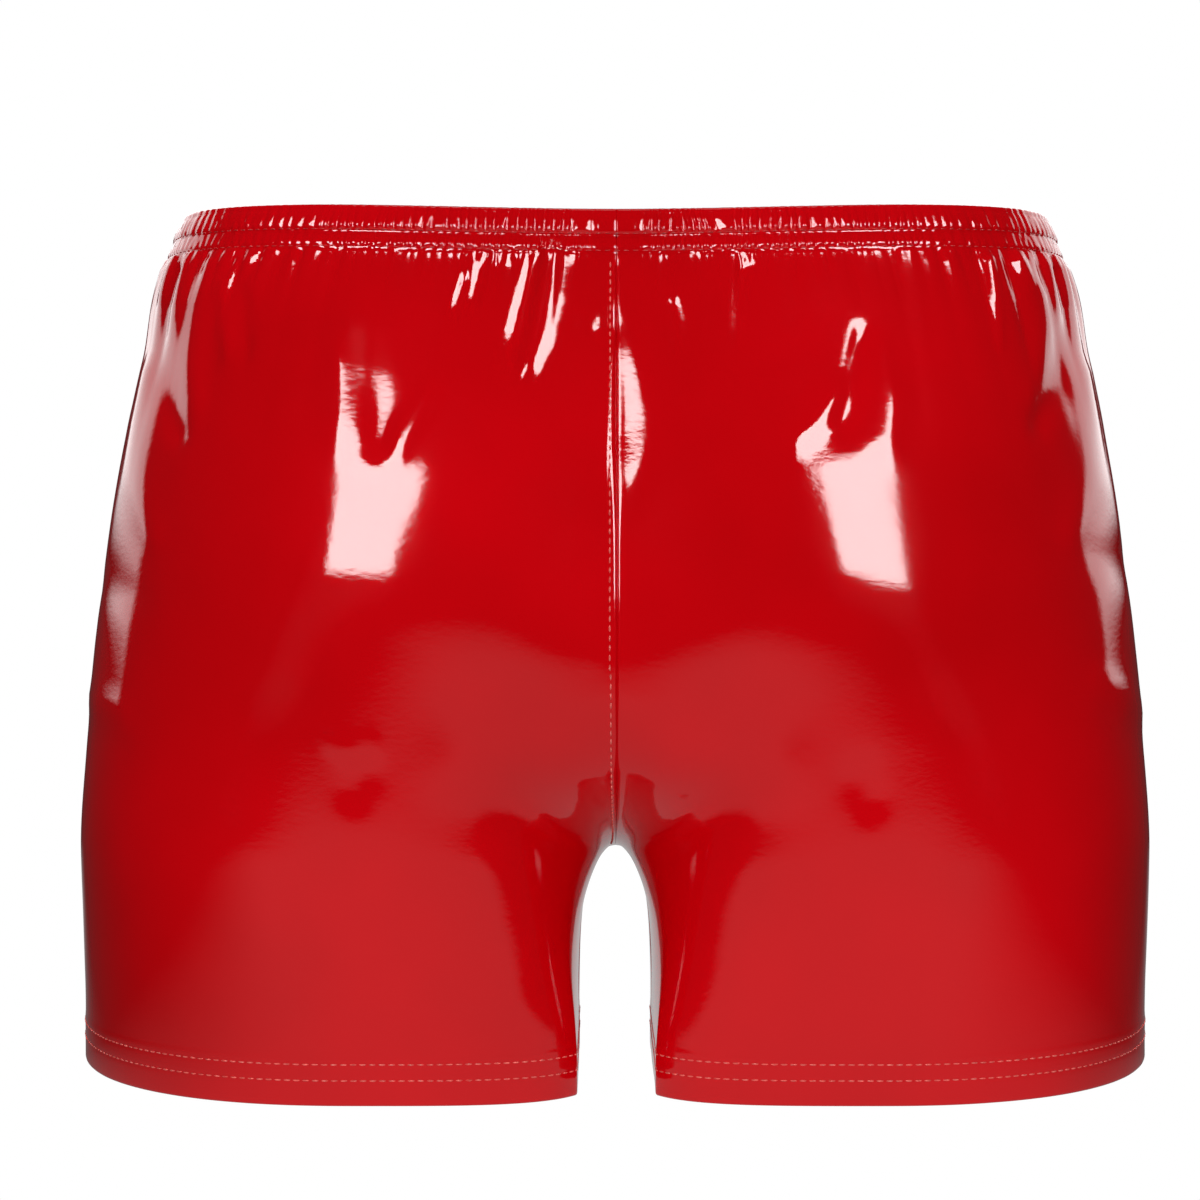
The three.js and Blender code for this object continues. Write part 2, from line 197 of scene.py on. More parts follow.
def dent(X, Z, path, width, amp, depth=-96.0, hard=2.0, left=1.0):
    """A soft trough (amp below 0) or ridge along a line of (px, py) points; width and amp, in mm, may vary
    from point to point."""
    pts = np.array([at_view(px, py, depth) for px, py in path])
    wid = np.zeros(len(pts)) + width
    amps = np.zeros(len(pts)) + amp
    out = np.zeros(X.shape)
    near = (X > pts[:, 0].min() - 30) & (X < pts[:, 0].max() + 30) & (Z > pts[:, 1].min() - 30) & (Z < pts[:, 1].max() + 30)
    if not near.any():
        return out
    x, z = X[near], Z[near]
    best, high = np.full(x.shape, 1e9), np.zeros(x.shape)
    for i in range(len(pts) - 1):
        d = pts[i + 1] - pts[i]
        t = np.clip(((x - pts[i, 0]) * d[0] + (z - pts[i, 1]) * d[1]) / max(d @ d, 1e-9), 0, 1)
        w = (wid[i] + t * (wid[i + 1] - wid[i])) * np.where(x < pts[i, 0] + t * d[0], left, 1.0)
        r = np.hypot(x - pts[i, 0] - t * d[0], z - pts[i, 1] - t * d[1]) / np.maximum(w, 0.05)
        high = np.where(r < best, amps[i] + t * (amps[i + 1] - amps[i]), high)
        best = np.minimum(best, r)
    out[near] = high * np.exp(-(best**hard))
    return out


def relief(P, N, zr, us, side):
    """How far the cloth stands out from the smooth shape, in mm."""
    X, Y, Z = side * P[..., 0], P[..., 1], P[..., 2]
    ax = np.abs(X)
    u = np.broadcast_to(us[None, :], X.shape)
    zz = np.broadcast_to(np.asarray(zr, float)[:, None], X.shape)
    run = u * WAIST_RUN
    s = side * run + 1000.0
    ends = smooth(3, 15, run) * smooth(3, 15, WAIST_RUN - run)
    back = smooth(-0.25, -0.6, N[..., 1])
    sides = smooth(0.2, 0.32, u) * (1 - smooth(0.66, 0.8, u))
    front = smooth(0.62, 0.75, u)
    D = np.zeros_like(X)

    # casing: two puckered tubes between the folded edge and the two stitch rows
    lo, hi = WAIST_ROWS
    amp = 0.8 + 0.35 * noise1(s / 7.0, 21)
    crowd = 0.55 + 0.45 * (1 - smooth(58, 78, run)) + 0.3 * smooth(0.62, 0.75, u)
    xt, xm = np.clip((zz - hi) / (WAIST_Z - hi), 0, 1), np.clip((zz - lo) / (hi - lo), 0, 1)
    wt_, wm_ = np.sin(np.pi * xt**0.34), np.sin(np.pi * xm**0.38)
    tall, short = np.exp(-np.clip(zz - hi, 0, None) / (2.2 + 5.0 * crowd)) * smooth(0, 0.12, xt), np.exp(-np.clip(zz - lo, 0, None) / (1.8 + 2.4 * crowd)) * smooth(0, 0.16, xm) * (1 - smooth(0.84, 1, xm))
    fan = noise1(s / 9.0, 27) * (zz - hi) / 7.0
    D += ends * amp * crowd * (1.9 * (ridges(s + fan + 0.7 * noise1(zz / 5.0 + s / 19.0, 23), 3.45, 3, 1.3) - 0.3) * tall + 1.6 * (ridges(s + 1.3, 3.3, 9, 1.2) - 0.3) * short) * (1 - 0.35 * sides)
    D += (1.1 * wt_ + 0.75 * wm_) * (1 - 0.5 * sides) - 0.5 * sides * smooth(lo - 6, lo, zz)
    D += 0.22 * sides * (ridges(s, 4.4, 33, 1.0) - 0.5) * smooth(lo, hi, zz)
    D -= 0.7 * smooth(307.5, 312, zz)
    for row in WAIST_ROWS:
        D -= (0.04 + 0.07 * np.cos(2 * np.pi * s / 3.3)) * bell(zz, row, 0.6)
    # below the casing: small gathers run together into fewer, longer folds
    dz = np.clip(lo - zz, 0, None)
    below = smooth(0, 1.5, dz) * ends
    loose = 0.34 + 0.45 * smooth(0.17, 0.3, u) * (1 - smooth(0.7, 0.85, u)) + 0.25 * front
    D += below * 0.6 * (ridges(s, 3.6, 9) - 0.35) * np.exp(-dz / 2.6) * (0.45 + 0.55 * crowd)
    D += below * 1.0 * (ridges(s + 7, 7.6, 31) - 0.5) * np.exp(-dz / 10.0) * loose
    D += below * 1.3 * (ridges(s - 5, 17.0, 37, 1.0) - 0.5) * np.exp(-dz / 30.0) * loose
    D += 1.1 * noise1(s / 26.0, 41) * np.exp(-dz / 70.0) * smooth(0, 14, dz) * loose
    # long hanging pleats over the hips
    D += sides * smooth(0, 6, dz) * 1.3 * (ridges(s + 2.5, 15.5, 53, 1.1) - 0.45) * np.exp(-((dz / 26.0) ** 1.5))

    # pulls and hollows on the seat, from the waist down
    B = np.zeros_like(X)
    B += dent(X, Z, [(548, 252), (543, 290), (535, 330), (524, 362)], [4.2, 5.2, 5.6, 4.8], [2.6, 2.4, 2.1, 1.6], -96, 2.3)
    B += dent(X, Z, [(533, 258), (525, 300), (516, 338), (510, 362)], [3.6, 4.4, 5.0, 4.4], [-1.4, -2.0, -2.5, -2.0], -96, 2.2)
    B += dent(X, Z, [(500, 262), (497, 300), (494, 340)], [3.0, 4.0, 3.0], -0.5)
    B += dent(X, Z, [(484, 250), (476, 276), (470, 300)], [1.6, 2.6, 2.4], -1.1)
    B += dent(X, Z, [(462, 272), (455, 300), (451, 318)], [1.3, 2.0, 1.6], -0.9)
    B += dent(X, Z, [(582, 318), (590, 320)], 3.6, 1.0) + dent(X, Z, [(599, 326), (606, 327)], 3.6, -1.0)
    B += dent(X, Z, [(742, 255), (738, 300), (736, 338)], [1.6, 2.4, 2.0], -0.8)
    B += dent(X, Z, [(748, 262), (744, 268)], 2.2, -0.8)
    B += dent(X, Z, [(672, 300), (678, 330), (674, 352)], [2.0, 3.0, 2.4], -0.6)
    B += dent(X, Z, [(366, 322), (374, 370), (378, 420), (376, 440)], [3.5, 5.5, 6.0, 4.5], [0.0, -0.2, -0.9, -1.0], -112)
    B += dent(X, Z, [(330, 350), (334, 400), (332, 440)], [4.0, 6.5, 6.0], 0.6, -112)
    B += dent(X, Z, [(352, 318), (349, 360), (347, 446)], [13.0, 14.0, 15.0], [1.9, 1.6, 0.0], -112)
    B += dent(X, Z, [(424, 392), (408, 420), (394, 446)], [3.5, 4.6, 4.6], [1.3, 1.1, 0.6], -112)
    B += dent(X, Z, [(866, 330), (852, 385), (846, 420)], [3.5, 5.5, 5.0], -0.9, -112)
    B += dent(X, Z, [(790, 440), (812, 422), (838, 390)], [3.5, 4.5, 4.0], 1.0, -112)
    B += dent(X, Z, [(884, 340), (892, 400), (888, 440)], [4.0, 6.5, 6.0], 0.9, -112)
    B += dent(X, Z, [(360, 772), (352, 790)], [7.0, 6.0], -0.9, -108)
    B += dent(X, Z, [(858, 780), (868, 800)], [7.0, 6.0], -0.9, -108)
    B += dent(X, Z, [(330, 742), (352, 752), (372, 745)], [3.0, 4.0, 3.0], 0.5, -108)
    B += dent(X, Z, [(452, 770), (500, 766), (556, 772)], [13.0, 14.0, 12.0], [1.2, 1.6, 1.0], -104)
    B += dent(X, Z, [(674, 772), (730, 766), (778, 770)], [12.0, 14.0, 13.0], [1.0, 1.6, 1.2], -104)
    D += B * back
    # long hollows that sweep down the hips, and creases low on them
    H = dent(X, Z, [(176, 268), (160, 310), (160, 350), (170, 395), (192, 440)], [2.0, 4.0, 6.5, 7.0, 4.0], -1.4, -48)
    H += dent(X, Z, [(208, 262), (196, 300), (194, 350), (204, 410)], [2.0, 4.0, 5.0, 4.0], 0.7, -60)
    H += dent(X, Z, [(146, 372), (140, 420), (152, 480), (172, 540)], [4.0, 7.0, 8.0, 5.0], 0.8, -36)
    H += dent(X, Z, [(256, 258), (240, 285), (246, 330), (250, 360)], [1.6, 3.0, 3.5, 2.0], -0.8, -70)
    H += dent(X, Z, [(238, 258), (222, 290), (226, 340), (232, 356)], [1.2, 2.2, 3.0, 2.0], 0.8, -66)
    H += dent(X, Z, [(1060, 268), (1070, 310), (1062, 350), (1048, 390), (1022, 430)], [2.0, 4.0, 6.5, 7.0, 4.0], -1.4, -48)
    H += dent(X, Z, [(1018, 262), (1042, 292), (1046, 330), (1024, 400)], [2.0, 3.5, 5.0, 4.0], 0.7, -60)
    H += dent(X, Z, [(1086, 372), (1084, 420), (1074, 480), (1052, 536)], [4.0, 7.0, 8.0, 5.0], 0.8, -36)
    H += dent(X, Z, [(990, 258), (994, 300), (996, 345)], [1.4, 2.4, 1.6], 0.6, -70)
    H += dent(X, Z, [(90, 590), (125, 585), (160, 600)], [6.0, 9.0, 6.0], [-0.2, -0.6, -0.5], -30)
    H += dent(X, Z, [(92, 692), (118, 700), (150, 704)], [4.0, 6.0, 4.0], [0.3, 0.8, 0.5], -20)
    H += dent(X, Z, [(92, 716), (122, 728), (150, 736)], [6.0, 8.0, 5.0], [-0.2, -0.6, -0.4], -20)
    H += dent(X, Z, [(1142, 560), (1112, 566), (1080, 560)], [6.0, 9.0, 6.0], [-0.2, -0.6, -0.5], -30)
    H += dent(X, Z, [(1138, 714), (1104, 694), (1066, 672)], [3.5, 5.5, 3.5], [0.3, 0.9, 0.5], -20)
    H += dent(X, Z, [(1138, 738), (1105, 722), (1078, 706)], [6.0, 8.0, 5.0], [-0.2, -0.6, -0.4], -20)
    D += H * (1 - smooth(0.52, 0.62, u))

    # slack in the cloth
    calm = smooth(0, 30, dz) * smooth(14, 40, zz)
    low_ = smooth(120, 190, zz)
    D += calm * ((0.3 + 0.35 * low_) * noise2(s / 62.0, zz / 50.0, 61) + (0.05 + 0.1 * low_) * noise2(s / 24.0, zz / 19.0, 67))

    # rise seam: allowances pressed to -X, a topstitch row beside the seam, small puckers along it
    rise = smooth(CROTCH_Z - 1, CROTCH_Z + 3, zz) * (1 - smooth(CASING_Z - 2, CASING_Z + 1, zz)) + 0.35 * smooth(CASING_Z - 2, CASING_Z + 1, zz)
    reach = np.minimum(ax, np.hypot(run * 1.15, 0) + 0 * ax)
    reach = np.where(zz > CROTCH_Z, np.minimum(run, WAIST_RUN - run) * np.where(zz > 150, 1.12, 1.3), 99.0)
    if side < 0:
        D += rise * (0.3 * (1 - smooth(3.6, 14.0, reach)) * smooth(0.0, 0.9, reach) - 0.14 * bell(reach, TOPSTITCH, 0.5))
        D += rise * 0.07 * np.cos(2 * np.pi * zz / 3.3) * bell(reach, TOPSTITCH, 0.8)
    wide = (2.4 + 4.6 * bell(zz, 236, 19)) if side > 0 else 1.2
    D -= 1.4 * smooth(192, 236, zz) * (1 - smooth(238, 288, zz)) * np.exp(-((reach / wide) ** 2)) * back
    D -= rise * 0.26 * np.exp(-((reach / 0.6) ** 2))
    pucker = noise1(zz / 11.0 + 0 * s, 83) * 0.07
    D += rise * pucker * np.exp(-reach / 3.0) * smooth(0.3, 1.5, reach)
    # inner-leg seam
    inner = (1 - smooth(CROTCH_Z - 2, CROTCH_Z, zz)) * np.minimum(u, 1 - u) * 620.0
    low = 1 - smooth(CROTCH_Z - 2, CROTCH_Z, zz)
    D -= low * 0.35 * np.exp(-((inner / 0.8) ** 2))

    # hem: the turn-up's edge shows as a low step, the two rows sink in
    D += 0.16 * (1 - smooth(HEM_Z - 1.2, HEM_Z + 2.2, zz))
    for row in HEM_ROWS:
        D -= (0.13 + 0.05 * np.cos(2 * np.pi * (u * 636) / 3.3)) * bell(zz, row, 0.6)
    D += (1 - smooth(12, 30, zz)) * (0.10 * noise1(u * 636 / 30.0 + 50 * side, 91) + 0.02 * noise2(u * 636 / 6.0 + 90 * side, zz / 6.0, 97))
    return D


# ------------------------------------------------------------------ fine grids of both halves
COLS = 400
tt = np.linspace(0, 1, 2 * COLS + 1)
U_UP = tt - 0.35 * np.sin(2 * np.pi * tt) / (2 * np.pi)
U_LOW = U_UP[::2]
JOIN = 276.0
f = 1.0
Z_LOW = np.concatenate([np.arange(1.0, 18.0, 0.8 * f), np.arange(18.4, 70, 2.9 * f), np.arange(70, 90, 1.4 * f), np.arange(90, JOIN - 1, 3.5 * f), [JOIN]])
Z_UP = np.concatenate([np.arange(JOIN + 2.0, 290, 2.0 * f), np.arange(290.3, 310.0, 0.58 * f), [310.2]])


def blur_rows(P, sigma):
    """Gaussian blur along z of a grid with 1 mm rows, keeping the slope at both ends."""
    r = int(3 * sigma) + 1
    w = np.exp(-0.5 * (np.arange(-r, r + 1) / sigma) ** 2)
    w /= w.sum()
    ext = np.concatenate([2 * P[:1] - P[r:0:-1], P, 2 * P[-1:] - P[-2 : -r - 2 : -1]])
    out = np.zeros_like(P)
    for i, k in enumerate(w):
        out += k * ext[i : i + len(P)]
    return out


def blur_columns(P, above, rounds):
    flip = np.array([-1.0, 1, 1])
    for _ in range(rounds):
        left = np.where(above, P[:, 1] * flip, P[:, -2])
        right = np.where(above, P[:, -2] * flip, P[:, 1])
        ext = np.concatenate([left[:, None], P, right[:, None]], 1)
        P = P + 0.5 * (0.5 * (ext[:, :-2] + ext[:, 2:]) - P)
    return P


def base_grid():
    """The calm shape of the right half on 1 mm rows and the fine columns."""
    zs = np.arange(0.0, 313.0)
    P = section_rows(zs, U_UP)
    near = np.minimum(U_UP, 1 - U_UP)[None, :] * WAIST_RUN
    z2 = zs[:, None]
    want = 16.0 * smooth(10, 60, z2) * (1 - 0.8 * smooth(232, 296, z2)) * (smooth(3, 60, near) * (1 - smooth(110, 150, z2)) + smooth(110, 150, z2))
    sig = [0.0, 2.5, 5.0, 8.0, 12.0, 16.0]
    stack = [P] + [blur_rows(P, v) for v in sig[1:]]
    out = np.zeros_like(P)
    for i, v in enumerate(sig):
        lo_ = np.clip((want - sig[i - 1]) / (v - sig[i - 1]), 0, 1) if i else np.ones_like(want)
        hi_ = np.clip((sig[i + 1] - want) / (sig[i + 1] - v), 0, 1) if i < len(sig) - 1 else np.ones_like(want)
        out += (np.minimum(lo_, hi_))[..., None] * stack[i]
    above = (zs > CROTCH_Z)[:, None]
    soft = blur_columns(out, above, 900)
    w = (smooth(81, 122, z2) + 0 * near) * (1 - smooth(262, 288, z2))
    out = out * (1 - w[..., None]) + soft * w[..., None]
    return zs, out


def rows_at(zs, P, want):
    """Smooth (Catmull-Rom) rows of the 1 mm grid at the heights wanted."""
    k = np.clip(np.floor(want).astype(int), 0, len(zs) - 2)
    t = (np.asarray(want) - k)[:, None, None]
    ext = np.concatenate([2 * P[:1] - P[1:2], P, 2 * P[-1:] - P[-2:-1]])
    a, b, c, d = ext[k], ext[k + 1], ext[k + 2], ext[k + 3]
    return 0.5 * (2 * b + (c - a) * t + (2 * a - 5 * b + 4 * c - d) * t**2 + (3 * b - a - 3 * c + d) * t**3)


BASE_Z, BASE = base_grid()


def hollow(D, rows, cols):
    """The lowest value near each point of a grid, softened."""
    for axis, reach_ in ((0, rows), (1, cols)):
        n = D.shape[axis]
        idx = [np.clip(np.arange(n) + k, 0, n - 1) for k in range(-reach_, reach_ + 1)]
        D = np.min([np.take(D, i, axis) for i in idx], 0)
    for axis, reach_ in ((0, rows), (1, cols)):
        n = D.shape[axis]
        idx = [np.clip(np.arange(n) + k, 0, n - 1) for k in range(-reach_, reach_ + 1)]
        D = np.minimum(D, np.mean([np.take(D, i, axis) for i in idx], 0))
    return D


class Half:
    def __init__(self, side):
        self.side = side
        low = relax_crotch(rows_at(BASE_Z, BASE[:, ::2], Z_LOW), Z_LOW, 60)
        both = np.concatenate([Z_LOW[-2:], Z_UP])
        up = rows_at(BASE_Z, BASE, both)
        n_low, n_up = normals(low, Z_LOW), normals(up, both)
        n_low[-1] = n_up[1, ::2]
        d_low, d_up = relief(low, n_low, Z_LOW, U_LOW, side), relief(up, n_up, both, U_UP, side)
        self.base_low, self.base_up, self.n_low, self.n_up = low, up[2:], n_low, n_up[2:]
        self.low = low + n_low * d_low[..., None]
        self.up = up[2:] + n_up[2:] * d_up[2:, :, None]
        # the rise seam stays on x = 0
        above = Z_LOW > CROTCH_Z
        for g in (self.low, self.up):
            rows = above if g is self.low else np.ones(len(g), bool)
            for c in (0, -1):
                g[rows, c, 0] = 0
        self.low[..., 0] = np.maximum(self.low[..., 0], 0)
        self.up[..., 0] = np.maximum(self.up[..., 0], 0)
        # the knit side lies behind the deepest of the folds
        self.in_low = low + n_low * (hollow(d_low, 1, 4) - FABRIC)[..., None]
        self.in_up = up[2:] + n_up[2:] * (hollow(d_up[2:], 2, 7) - FABRIC)[..., None]
        for g, rows in ((self.in_low, above), (self.in_up, np.ones(len(self.in_up), bool))):
            for c in (0, -1):
                g[rows, c, 0] = 0
            g[..., 0] = np.maximum(g[..., 0], 0)

    def point(self, u, z, inside=False):
        """Surface point and outward normal at column fraction u and row height z (arrays), mirrored to this side."""
        low, up = (self.in_low, self.in_up) if inside else (self.low, self.up)
        u, z = np.broadcast_arrays(np.asarray(u, float), np.asarray(z, float))
        P, N = np.zeros(u.shape + (3,)), np.zeros(u.shape + (3,))
        for grid, nor, us, zs, m in (
            (low, self.n_low, U_LOW, Z_LOW, z <= JOIN),
            (np.concatenate([low[-1:, np.clip(np.searchsorted(U_LOW, U_UP), 0, len(U_LOW) - 1)], up]), np.concatenate([self.n_up[:1], self.n_up]), U_UP, np.concatenate([[JOIN], Z_UP]), z > JOIN),
        ):
            if not m.any():
                continue
            uu, z2 = u[m], z[m]
            i = np.clip(np.searchsorted(us, uu) - 1, 0, len(us) - 2)
            k = np.clip(np.searchsorted(zs, z2) - 1, 0, len(zs) - 2)
            a = np.clip((uu - us[i]) / (us[i + 1] - us[i]), 0, 1)[..., None]
            b = np.clip((z2 - zs[k]) / (zs[k + 1] - zs[k]), 0, 1)[..., None]
            P[m] = (grid[k, i] * (1 - a) + grid[k, i + 1] * a) * (1 - b) + (grid[k + 1, i] * (1 - a) + grid[k + 1, i + 1] * a) * b
            N[m] = (nor[k, i] * (1 - a) + nor[k, i + 1] * a) * (1 - b) + (nor[k + 1, i] * (1 - a) + nor[k + 1, i + 1] * a) * b
        P[..., 0] *= self.side
        N[..., 0] *= self.side
        return P, N / np.maximum(np.linalg.norm(N, axis=-1, keepdims=True), 1e-9)


LEFT, RIGHT = Half(-1), Half(1)


# ------------------------------------------------------------------ meshes
def make_object(name, verts_mm, faces, materials, face_material=None, smooth_shade=True):
    me = bpy.data.meshes.new(name)
    me.from_pydata((np.asarray(verts_mm) / 1000.0).tolist(), [], faces)
    if face_material is not None:
        me.polygons.foreach_set("material_index", np.asarray(face_material, np.int32))
    me.polygons.foreach_set("use_smooth", np.full(len(me.polygons), smooth_shade))
    me.update()
    o = bpy.data.objects.new(name, me)
    bpy.context.collection.objects.link(o)
    for m in materials:
        me.materials.append(m)
    return o


def recalc(o):
    bm = bmesh.new()
    bm.from_mesh(o.data)
    bmesh.ops.recalc_face_normals(bm, faces=bm.faces)
    bm.to_mesh(o.data)
    bm.free()


class Shell:
    """Collects rows of points and joins them into one mesh."""

    def __init__(self):
        self.v, self.f, self.m, self.n = [], [], [], 0

    def row(self, pts):
        self.v.append(np.asarray(pts, float))
        idx = np.arange(self.n, self.n + len(pts))
        self.n += len(pts)
        return idx

    def quads(self, a, b, mat):
        q = np.stack([a[:-1], a[1:], b[1:], b[:-1]], 1)
        self.f += q.tolist()
        self.m += [mat] * len(q)

    def halve(self, coarse, fine, mat):
        for i in range(len(coarse) - 1):
            c0, c1, f0, f1, f2 = coarse[i], coarse[i + 1], fine[2 * i], fine[2 * i + 1], fine[2 * i + 2]
            self.f += [[int(c0), int(c1), int(f1)], [int(c0), int(f1), int(f0)], [int(c1), int(f2), int(f1)]]
            self.m += [mat] * 3

    def zip(self, a, ta, b, tb, mat):
        i = j = 0
        while i < len(a) - 1 or j < len(b) - 1:
            if j == len(b) - 1 or (i < len(a) - 1 and ta[i + 1] <= tb[j + 1]):
                self.f.append([int(a[i]), int(b[j]), int(a[i + 1])])
                i += 1
            else:
                self.f.append([int(a[i]), int(b[j]), int(b[j + 1])])
                j += 1
            self.m.append(mat)


def level(n):
    n = n.copy()
    n[..., 2] = 0
    return n / np.maximum(np.linalg.norm(n, axis=-1, keepdims=True), 1e-9)


def panel(half, name, materials):
    """One leg's cut piece: its glossy face from the raw hem edge inside, round the hem, up the wall, over the
    waist fold and down to the casing's raw edge, backed by the knit side, as one closed thin solid."""
    sh = Shell()
    FACE, BACK = 0, 1
    low, up, nl, nu = half.low, half.up, half.n_low, half.n_up
    rows, widths = [], []

    def add(pts):
        idx = sh.row(pts)
        if rows:
            prev = rows[-1]
            if len(prev) == len(idx):
                sh.quads(prev, idx, FACE)
            elif len(prev) < len(idx):
                sh.halve(prev, idx, FACE)
            else:
                sh.halve(idx, prev, FACE)
        rows.append(idx)

    # turned-up hem, raw edge first
    hem = [k for k in range(len(Z_LOW)) if Z_LOW[k] <= HEM_Z + 0.1]
    for k in hem[::-3]:
        add(low[k] - 1.9 * level(nl[k]))
    if hem[::-3][-1] != 0:
        add(low[0] - 1.9 * level(nl[0]))
    for t in (30, 65, 90, 115, 150):
        a = math.radians(t)
        p = low[0] - 0.95 * (1 + math.cos(a)) * level(nl[0])
        p[:, 2] -= 0.95 * math.sin(a)
        add(p)
    for k in range(len(low)):
        add(low[k])
    for k in range(len(up)):
        add(up[k])
    # waist fold and the casing's inner layer, which is gathered too
    s = U_UP * WAIST_RUN * half.side + 1000.0
    ends = smooth(7, 17, U_UP * WAIST_RUN) * smooth(7, 17, WAIST_RUN * (1 - U_UP))
    inner_amp = 0.45 * (ridges(s + 0.7, 3.5, 15) - 0.5) * ends
    deep = CHANNEL + FABRIC
    inn = half.base_up[-1] - (deep + inner_amp)[:, None] * level(nu[-1])
    for t in (18, 42, 66, 90, 114, 138, 162):
        a = math.radians(t)
        w = 0.5 * (1 - math.cos(a))
        p = up[-1] * (1 - w) + inn * w
        p[:, 2] += 1.8 * math.sin(a)
        add(p)
    add(inn)
    for z in (308.6, 306.5, 304.6, 302.8, 301.0, 299.2, 297.6, 296.6, 295.4, CASING_Z):
        k = int(np.argmin(np.abs(Z_UP - z)))
        pull = sum(0.5 * float(bell(z, r, 0.7)) for r in WAIST_ROWS)
        p = half.base_up[k][::2] - (deep - pull + inner_amp[::2])[:, None] * level(nu[k][::2])
        add(p)
    # knit side, coarser
    step = 4
    ub = U_LOW[::step]
    back = []

    def add_back(pts):
        idx = sh.row(pts)
        if back:
            sh.quads(idx, back[-1], BACK)
        back.append(idx)

    for k in [hem[-1], hem[len(hem) // 2], 1]:
        add_back((low[k] - 1.1 * level(nl[k]))[::step])
    for k in [1] + list(range(3, len(low) - 1, 3)) + [len(low) - 1]:
        add_back(half.in_low[k][::step])
    for k in range(3, len(up), 4):
        if Z_UP[k] < 309.0:
            add_back(half.in_up[k][:: 2 * step])
    k = int(np.argmin(np.abs(Z_UP - 309.2)))
    add_back(half.in_up[k][:: 2 * step])
    for z in (309.2, 303, CASING_Z):
        k = int(np.argmin(np.abs(Z_UP - z)))
        add_back((half.base_up[k] - CHANNEL * level(nu[k]))[:: 2 * step])
    # rims: raw hem edge, raw casing edge, and the two long seam edges
    V = np.concatenate(sh.v)

    def along(idx):
        p = V[idx]
        d = np.concatenate([[0], np.cumsum(np.linalg.norm(np.diff(p, axis=0), axis=1))])
        return d / d[-1]

    u_of = {len(U_UP): U_UP, len(U_LOW): U_LOW, len(ub): ub}
    for a, b in ((rows[0], back[0]), (rows[-1], back[-1])):
        sh.zip(a, u_of[len(a)], b, u_of[len(b)], BACK)
    for c in (0, -1):
        a, b = np.array([r[c] for r in rows]), np.array([r[c] for r in back])
        sh.zip(a, along(a), b, along(b), BACK)
    V[:, 0] *= half.side
    o = make_object(name, V, sh.f, materials, sh.m)
    recalc(o)
    return o


def stitches(name, lines, pitch, material, radius=0.24, lift=0.2, share=0.72, sunk=0.08):
    """Separate stitches along lines given as (points, normals), in one mesh."""
    rings, sides = 5, 6
    V, F, base = [], [], 0
    q = np.arange(sides) * 2 * math.pi / sides
    tr = np.linspace(0, 1, rings)
    rad = radius * np.array([0.35, 0.92, 1.0, 0.92, 0.35])
    for pts, nor in lines:
        run = np.concatenate([[0], np.cumsum(np.linalg.norm(np.diff(pts, axis=0), axis=1))])
        n = max(1, int(round(run[-1] / pitch)))
        start = (np.arange(n) + (1 - share) / 2) * run[-1] / n
        stop = start + share * run[-1] / n
        grab = lambda d, arr: np.stack([np.interp(d, run, arr[:, c]) for c in range(3)], 1)
        a, b = grab(start, pts), grab(stop, pts)
        m = grab((start + stop) / 2, pts)
        N = grab((start + stop) / 2, nor)
        T = b - a
        T /= np.maximum(np.linalg.norm(T, axis=1, keepdims=True), 1e-9)
        N -= (N * T).sum(1, keepdims=True) * T
        N /= np.maximum(np.linalg.norm(N, axis=1, keepdims=True), 1e-9)
        Bn = np.cross(T, N)
        for r in range(rings):
            t = tr[r]
            c = a * (1 - t) ** 2 + 2 * t * (1 - t) * (2 * m - 0.5 * (a + b)) + b * t * t
            c = c + N * (lift * math.sin(math.pi * t) ** 0.7 - sunk)
            ring = c[:, None] + rad[r] * (np.cos(q)[None, :, None] * Bn[:, None] + np.sin(q)[None, :, None] * N[:, None])
            V.append((r, ring))
        block = np.stack([v for r, v in V[-rings:]], 1).reshape(n, rings * sides, 3)
        V = V[:-rings]
        V.append(("done", block.reshape(-1, 3)))
        one = []
        for r in range(rings - 1):
            for j in range(sides):
                j2 = (j + 1) % sides
                one.append([r * sides + j, r * sides + j2, (r + 1) * sides + j2, (r + 1) * sides + j])
        caps = [[j for j in range(sides)][::-1], [(rings - 1) * sides + j for j in range(sides)]]
        for i in range(n):
            o0 = base + i * rings * sides
            F += [[o0 + x for x in fc] for fc in one] + [[o0 + x for x in fc] for fc in caps]
        base += n * rings * sides
    pts = np.concatenate([v for _, v in V])
    o = make_object(name, pts, F, [material])
    recalc(o)
    return o


# ------------------------------------------------------------------ materials
def nodes_of(name):
    m = bpy.data.materials.new(name)
    m.use_nodes = True
    t = m.node_tree
    bsdf = t.nodes["Principled BSDF"]
    coord = t.nodes.new("ShaderNodeTexCoord")
    return m, t, bsdf, coord


def mapped(t, coord, scale):
    mp = t.nodes.new("ShaderNodeMapping")
    mp.inputs["Scale"].default_value = scale
    t.links.new(coord.outputs["Object"], mp.inputs["Vector"])
    return mp.outputs["Vector"]


def noise_node(t, vec, scale, detail=2.0, rough=0.5):
    n = t.nodes.new("ShaderNodeTexNoise")
    n.inputs["Scale"].default_value = scale
    n.inputs["Detail"].default_value = detail
    n.inputs["Roughness"].default_value = rough
    t.links.new(vec, n.inputs["Vector"])
    return n.outputs["Fac"]


def ramp(t, fac, c0, c1, p0=0.3, p1=0.7):
    r = t.nodes.new("ShaderNodeValToRGB")
    r.color_ramp.elements[0].position, r.color_ramp.elements[1].position = p0, p1
    r.color_ramp.elements[0].color, r.color_ramp.elements[1].color = c0, c1
    t.links.new(fac, r.inputs["Fac"])
    return r.outputs["Color"]


